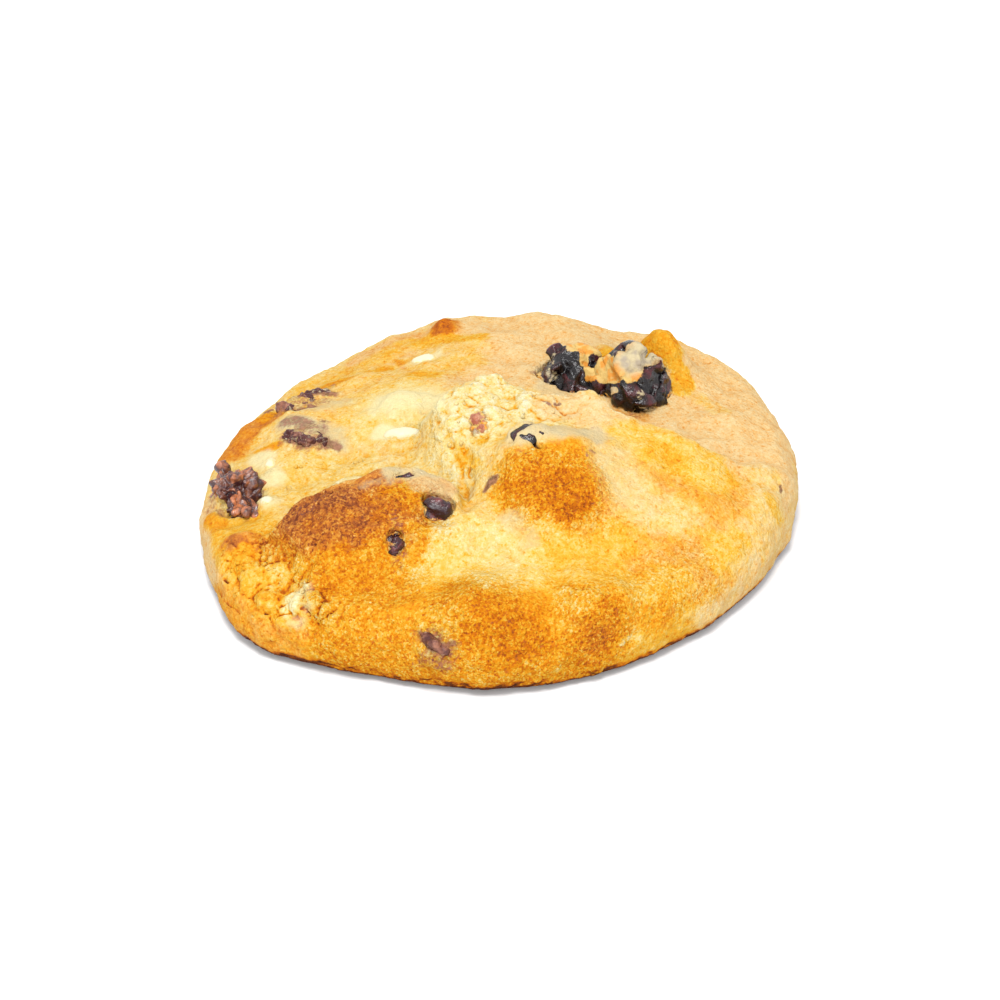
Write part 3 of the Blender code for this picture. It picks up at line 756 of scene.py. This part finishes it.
# Crumbs broke loose where the dough tore open, and stayed there.
LOOSE_CRUMBS = 150
rng = np.random.default_rng(3)
place, outward = points(dough), points(dough, "normal")
layers = {}
for layer in ("browning", "rosy", "film", "melted", "sandy", "crumbly"):
    layers[layer] = np.empty(len(place))
    dough.data.attributes[layer].data.foreach_get("value", layers[layer])
likely = np.clip(layers["crumbly"] - 0.3, 0, 1) * (outward[:, 2] > 0.3)
seats = rng.choice(len(place), LOOSE_CRUMBS, replace=False, p=likely / likely.sum())
bpy.ops.mesh.primitive_ico_sphere_add(subdivisions=2, radius=MM)
ball = bpy.context.object
round_crumb = points(ball)
triangles = np.array([tuple(face.vertices) for face in ball.data.polygons])
bpy.data.objects.remove(ball)
corners, faces = [], []
for number, seat in enumerate(seats):
    radius = 0.14 + 0.24 * rng.random() ** 2  # most of them are small
    squashed = round_crumb * rng.uniform(0.75, 1.2, 3) * radius
    squashed *= 1 + clouds(squashed + seat, radius * 1.1, 95)[:, None] * 0.35
    corners.append(squashed + place[seat] + outward[seat] * -radius * 0.15)
    faces.append(triangles + number * len(round_crumb))
crumb_mesh = bpy.data.meshes.new("loose_crumbs")
crumb_mesh.from_pydata(np.concatenate(corners) * MM, [], np.concatenate(faces).tolist())
loose_crumbs = bpy.data.objects.new("loose_crumbs", crumb_mesh)
bpy.context.scene.collection.objects.link(loose_crumbs)
for layer, values in layers.items():
    paint(loose_crumbs, **{layer: np.repeat(values[seats], len(round_crumb))})
coat(loose_crumbs, crust_finish.material)
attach(loose_crumbs, "root")


# ---- The cranberries ----
# Dried cranberries, dark and crumpled, kneaded into the dough before it was baked. Three stand
# well out of it and shine; the others are half buried, with dough smeared over their skin.


def berry_finish(name, dark, light, red_and_highlight_from=0.48, **constants):
    """Dark skin, redder in patches, lighter on its raised folds and darker in its creases, partly its own
    red and partly painted highlight and shade, and the dough that clings to it.
    """
    made = Finish(name, **constants)
    folds = made.painted("relief")
    redness_and_fold_highlight = made.cloud(1.4, 3.0, 0.6) * 0.7 + made.cells(1.9, "Color") * 0.3
    skin = made.mix((redness_and_fold_highlight + folds * 0.5).above(red_and_highlight_from, red_and_highlight_from + 0.4), dark, light)
    fleck = made.cloud(0.6, 4.0, 0.65)
    clinging = (made.painted("clinging") + (fleck - 0.5) * 0.9).above(0.42, 0.58)
    tint = made.cloud(1.5, 2.0, 0.5)
    baked = made.mix(tint.above(0.45, 0.6), seen(244, 204, 118), seen(250, 166, 52))
    grey = made.mix(tint.above(0.35, 0.6), seen(188, 172, 148), seen(222, 204, 160))
    smear = made.mix(made.painted("greyed"), baked, grey)
    made.feed(made.shader.inputs["Base Color"], made.mix(clinging, skin, smear))
    made.feed(made.shader.inputs["Roughness"], made.cloud(0.9) * 0.16 + clinging * 0.5 + 0.08)
    made.bump(made.cloud(0.45, 3.0, 0.6), 0.14)
    return made.material


glossy = berry_finish("glossy_cranberry", seen(16, 7, 12), seen(116, 50, 56), Specular_IOR_Level=0.4)
maroon = berry_finish("maroon_cranberry", seen(54, 22, 32), seen(160, 78, 78), Specular_IOR_Level=0.4)
crumpled = berry_finish("crumpled_cranberry", seen(80, 42, 46), seen(255, 156, 96), red_and_highlight_from=0.42,
                        Specular_IOR_Level=0.6)
dull_berry = berry_finish("dull_cranberry", seen(92, 50, 48), seen(206, 140, 112), Specular_IOR_Level=0.2)
pale_berry = berry_finish("pale_cranberry", seen(188, 106, 80), seen(242, 186, 148),
                          Specular_IOR_Level=0.15)

# A berry is fattened and meshed in voxels of a size, crumpled into facets of a size and a depth with
# wrinkles and knobs on them, sunk by a depth, and swollen or shrunk by patches. Clinging is how much
# dough sticks to it where they meet.
Berry = namedtuple("Berry", "finish voxel fatten facet depth wrinkle knob clinging sunk swollen")
BERRIES = {
    "cranberry_back_right": Berry(glossy, 0.2, 0.2, 4.6, 1.1, 0.15, 0.0, 0.65, 0.0, (
        Patch(0.8, 2.0, ((20.0, 10.2, 11.6), (17.0, 9.8, 12.0))),
        Patch(1.0, 1.3, ((14.6, 11.2, 12.6), (15.2, 10.4, 12.2))),
        Patch(-1.3, 2.6, ((24.4, 13.0, 14.5), (24.4, 16.0, 15.0))))),
    "cranberry_back_left": Berry(glossy, 0.2, 0.2, 3.4, 0.8, 0.2, 0.1, 0.65, 0.0, (
        Patch(-0.6, 1.6, ((4.6, 18.0, 12.0), (5.0, 14.0, 12.0))),
        Patch(1.2, 1.4, ((14.0, 13.6, 12.0), (14.8, 12.8, 11.8))),
        Patch(1.0, 2.0, ((8.6, 20.4, 14.0), (12.4, 20.4, 14.8))),
        Patch(0.8, 1.6, ((13.6, 15.0, 13.6), (15.2, 14.4, 14.6))))),
    "cranberry_left_rim": Berry(crumpled, 0.15, 0.05, 2.1, 0.2, 0.4, 1.6, 0.4, 0.3, (
        Patch(-1.8, 2.2, ((-40.2, -9.4, 7.4), (-38.6, -11.8, 6.6))),
        Patch(-1.2, 1.2, ((-40.0, -4.6, 8.4), (-38.2, -5.0, 10.4))),
        Patch(1.0, 1.1, ((-38.2, -1.4, 9.0), (-37.2, -0.6, 9.2))),
        Patch(-1.4, 1.2, ((-35.8, -1.4, 9.4), (-35.8, -3.2, 10.4))),
        Patch(1.3, 1.3, ((-33.4, -4.2, 9.6), (-32.4, -5.6, 9.2))),
        Patch(1.3, 1.7, ((-36.4, -12.0, 7.2), (-33.0, -12.4, 7.4))),
        Patch(-2.0, 1.6, ((-33.0, -8.2, 9.6), (-31.8, -8.6, 8.6))))),
    "cranberry_upper_left": Berry(dull_berry, 0.16, 0.1, 1.8, 0.3, 0.4, 0.3, 0.5, 0.4, (
        Patch(0.7, 1.0, ((-31.8, 14.6), (-30.5, 13.2), (-28.7, 11.6), (-27.4, 12.4), (-26.7, 14.4))),
        Patch(0.8, 0.9, ((-28.0, 15.8), (-26.4, 17.2), (-24.6, 16.8))))),
    "cranberry_upper_left_front": Berry(dull_berry, 0.16, 0.1, 1.8, 0.3, 0.4, 0.3, 0.5, 0.4, (
        Patch(0.6, 1.0, ((-29.8, 4.6), (-28.4, 2.8), (-26.8, 1.8))),
        Patch(0.6, 1.1, ((-26.0, 3.0), (-24.2, 1.6))))),
    "cranberry_left_mound": Berry(maroon, 0.14, 0.2, 1.8, 0.5, 0.15, 0.1, 0.6, 0.0, (
        Patch(0.9, 1.8, ((-9.6, -20.8, 13.8), (-8.0, -20.8, 14.0))),
        Patch(-1.6, 2.2, ((-10.2, -16.8, 14.4), (-6.4, -17.2, 14.8))),
        Patch(-1.0, 1.6, ((-5.6, -18.4, 13.4), (-5.6, -20.4, 13.4))))),
    "cranberry_left_mound_front": Berry(maroon, 0.12, 0.15, 1.4, 0.4, 0.15, 0.1, 0.65, 0.0, ()),
    "cranberry_left_mound_back": Berry(glossy, 0.18, 0.1, 1.6, 0.2, 0.1, 0.1, 0.4, 0.0, ()),
    "cranberry_middle": Berry(glossy, 0.18, 0.1, 1.6, 0.2, 0.1, 0.1, 0.4, 0.0, ()),
    "cranberry_crown": Berry(pale_berry, 0.12, 0.3, 1.2, 0.3, 0.2, 0.5, 0.7, 0.0, ()),
    "cranberry_front": Berry(dull_berry, 0.16, 0.1, 1.6, 0.25, 0.2, 0.1, 0.5, 0.4, (
        Patch(1.0, 0.7, ((-9.8, -38.8, 8.2), (-8.8, -39.8, 7.6))),
        Patch(1.0, 0.7, ((-8.4, -39.8, 7.4), (-7.0, -40.6, 6.8))))),
}
# Dough that was dragged over the big pair at the back, the bare skin that it left between, and
# where it is greyish, in millimetres from the cookie's middle and up from the table.
SKINS = (
    Patch(1.0, 1.7, ((9.8, 20.0, 14.0), (11.6, 19.4, 14.2))),
    Patch(1.0, 2.1, ((12.6, 18.4, 14.4), (13.4, 15.8, 13.4), (15.0, 14.0, 14.8))),
    Patch(1.0, 2.0, ((15.4, 13.0, 15.4), (17.4, 11.4, 16.6))),
    Patch(0.9, 1.9, ((17.4, 12.6, 17.4), (19.4, 13.4, 17.9), (22.0, 14.6, 17.2))),
    Patch(0.8, 1.2, ((18.4, 17.4, 18.0), (21.5, 17.4, 17.4))),
    Patch(0.9, 0.7, ((15.6, 10.4, 13.4),)),
    Patch(0.9, 0.6, ((7.6, 15.0, 13.0),)),
    Patch(0.7, 0.8, ((14.2, 11.8, 11.6),)),
    Patch(0.6, 1.3, ((4.4, 19.0, 11.0), (4.6, 16.6, 11.6), (4.8, 14.2, 11.0))),
    Patch(0.5, 1.2, ((8.4, 19.2, 13.6), (6.6, 18.6, 13.2), (7.2, 15.6, 12.6))),
    Patch(0.5, 1.1, ((18.6, 9.4, 13.6), (19.4, 9.2, 12.4))),
    # and over the one in the left mound
    Patch(0.9, 0.9, ((-10.0, -18.6, 14.6), (-8.2, -18.2, 15.4), (-6.2, -18.2, 15.4))),
)
BARE = (
    Patch(1.0, 1.4, ((13.3, 17.6, 14.0), (14.1, 16.4, 13.8))),
    Patch(0.9, 1.0, ((9.8, 17.4, 13.2), (10.4, 16.4, 13.0))),
)
GREYED = (
    Patch(1.0, 2.1, ((17.8, 12.4, 17.4), (19.4, 13.4, 17.9), (22.0, 14.6, 17.2))),
    Patch(0.8, 1.2, ((18.4, 17.4, 18.0), (21.5, 17.4, 17.4))),
    Patch(0.8, 0.7, ((15.6, 10.4, 13.4),)),
    Patch(1.0, 1.6, ((8.4, 19.2, 13.6), (6.6, 18.6, 13.2), (7.2, 15.6, 12.6))),
    Patch(1.0, 1.3, ((18.6, 9.4, 13.6), (19.4, 9.2, 12.4))),
    Patch(0.7, 1.2, ((-10.0, -18.6, 14.6), (-8.2, -18.2, 15.4), (-6.2, -18.2, 15.4))),
)
dough_skin = points(dough)
for number, (node, berry) in enumerate(BERRIES.items()):
    made = copy_of(node, "dried_" + node)
    shape(made, "DISPLACE", strength=berry.fatten * MM, mid_level=0)
    shape(made, "REMESH", mode="VOXEL", voxel_size=berry.voxel * MM)
    shape(made, "SMOOTH", factor=0.5, iterations=12)
    place = points(made)
    loose = wandering(place, berry.facet, berry.facet * 0.12, 40 + number)
    crumpling = facets(loose, berry.facet, 50 + number) * berry.depth
    crumpling += np.abs(clouds(loose, berry.facet * 0.4, 60 + number)) * berry.wrinkle
    crumpling += crumbs(loose, berry.facet * 0.9, 70 + number) * berry.knob * 0.5
    crumpling -= crumpling.mean() + berry.sunk
    for patch in berry.swollen:  # its share is a height in millimetres, below 0 where it shrank
        crumpling += patched(place, (patch._replace(share=1.0),), 0.6) * patch.share
    push(made, crumpling)
    shape(made, "SMOOTH", factor=0.5, iterations=1)
    place = points(made)
    loose = wandering(place, 1.2, 0.3, 80)
    beside = (np.abs(dough_skin - place.mean(axis=0)) < np.ptp(place, axis=0) / 2 + 2).all(axis=1)
    clinging = near_to(loose, dough_skin[beside], 0.9) * berry.clinging
    clinging = np.maximum(clinging, patched(loose, SKINS, 0.3)) * (1 - patched(loose, BARE, 0.3))
    push(made, smooth((clinging - 0.35) / 0.25) * (0.16 + crumbs(place, 0.9, 81) * 0.1))
    greyed = np.full(len(place), 1.0) if berry.finish == dull_berry else patched(loose, GREYED, 0.4)
    # The relief makes the raised folds lighter in the finish: partly a painted highlight.
    paint(made, relief=stand_out(made, 10), clinging=clinging, greyed=greyed)
    coat(made, berry.finish)
    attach(made, "root")
    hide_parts(node)


# ---- The white chocolate ----
# Chunks that went soft in the oven and set again, smooth and ivory, flush with the dough.

CHOCOLATE_GRAIN = 0.25 * MM  # of its mesh
ivory = Finish("melted_white_chocolate", Roughness=0.45, Specular_IOR_Level=0.4)
cloudy = ivory.cloud(1.6, 3.0, 0.6)
crumbed = (ivory.painted("clinging") + (ivory.cloud(0.6, 4.0, 0.65) - 0.5) * 0.8).above(0.3, 0.8)
chocolate = ivory.mix(cloudy, seen(254, 243, 190), seen(255, 251, 224))
ivory.feed(ivory.shader.inputs["Base Color"], ivory.mix(crumbed, chocolate, seen(252, 222, 136)))
ivory.bump(ivory.cloud(0.9, 3.0), 0.12)
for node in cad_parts:
    if not node.startswith("white_chocolate"):
        continue
    made = copy_of(node, "melted_" + node)
    shape(made, "REMESH", mode="VOXEL", voxel_size=CHOCOLATE_GRAIN)
    shape(made, "SMOOTH", factor=0.5, iterations=10)
    push(made, clouds(points(made), 1.6, 90) * 0.15)
    paint(made, clinging=near_to(points(made), dough_skin, 0.4))
    coat(made, ivory.material)
    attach(made, "root")
    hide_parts(node)


# ---- The table, the light and the camera ----
# A white table under a soft light from above and a weaker one from the front, seen from a little
# more than a third of a metre away.

bpy.ops.object.select_all(action="DESELECT")
bpy.ops.mesh.primitive_plane_add(size=6.0, location=(0, 0, 0))
table_top = bpy.context.object
table_top.name = "table_top"
white = Finish("white_table", Base_Color=(0.7, 0.7, 0.7, 1), Roughness=0.9, Specular_IOR_Level=0.1)
table_top.data.materials.append(white.material)

world = bpy.data.worlds.new("studio")
bpy.context.scene.world = world
world.use_nodes = True
world.node_tree.nodes["Background"].inputs["Color"].default_value = (1, 1, 1, 1)
world.node_tree.nodes["Background"].inputs["Strength"].default_value = 1.25


def soft_light(name, place, size, power):
    """A square soft box that faces the cookie."""
    data = bpy.data.lights.new(name, "AREA")
    data.size = size
    data.energy = power
    made = bpy.data.objects.new(name, data)
    bpy.context.scene.collection.objects.link(made)
    made.location = place
    made.rotation_euler = (-Vector(place)).to_track_quat("-Z", "Y").to_euler()


soft_light("top_box", (-0.04, -0.22, 0.6), 0.2, 3.8)
soft_light("front_box", (0.0, -0.5, 0.2), 0.4, 1.4)

camera = bpy.data.objects.new("camera", bpy.data.cameras.new("camera"))
bpy.context.scene.collection.objects.link(camera)
camera.data.lens = 100
camera.data.sensor_width = 36
ELEVATION = math.radians(34)
DISTANCE = 0.372
AIM = Vector((-0.0004, -0.0083, 0.008))
camera.location = AIM + Vector((0, -math.cos(ELEVATION), math.sin(ELEVATION))) * DISTANCE
camera.rotation_euler = (math.pi / 2 - ELEVATION, 0, 0)
bpy.context.scene.camera = camera
bpy.context.scene.view_settings.view_transform = "Standard"
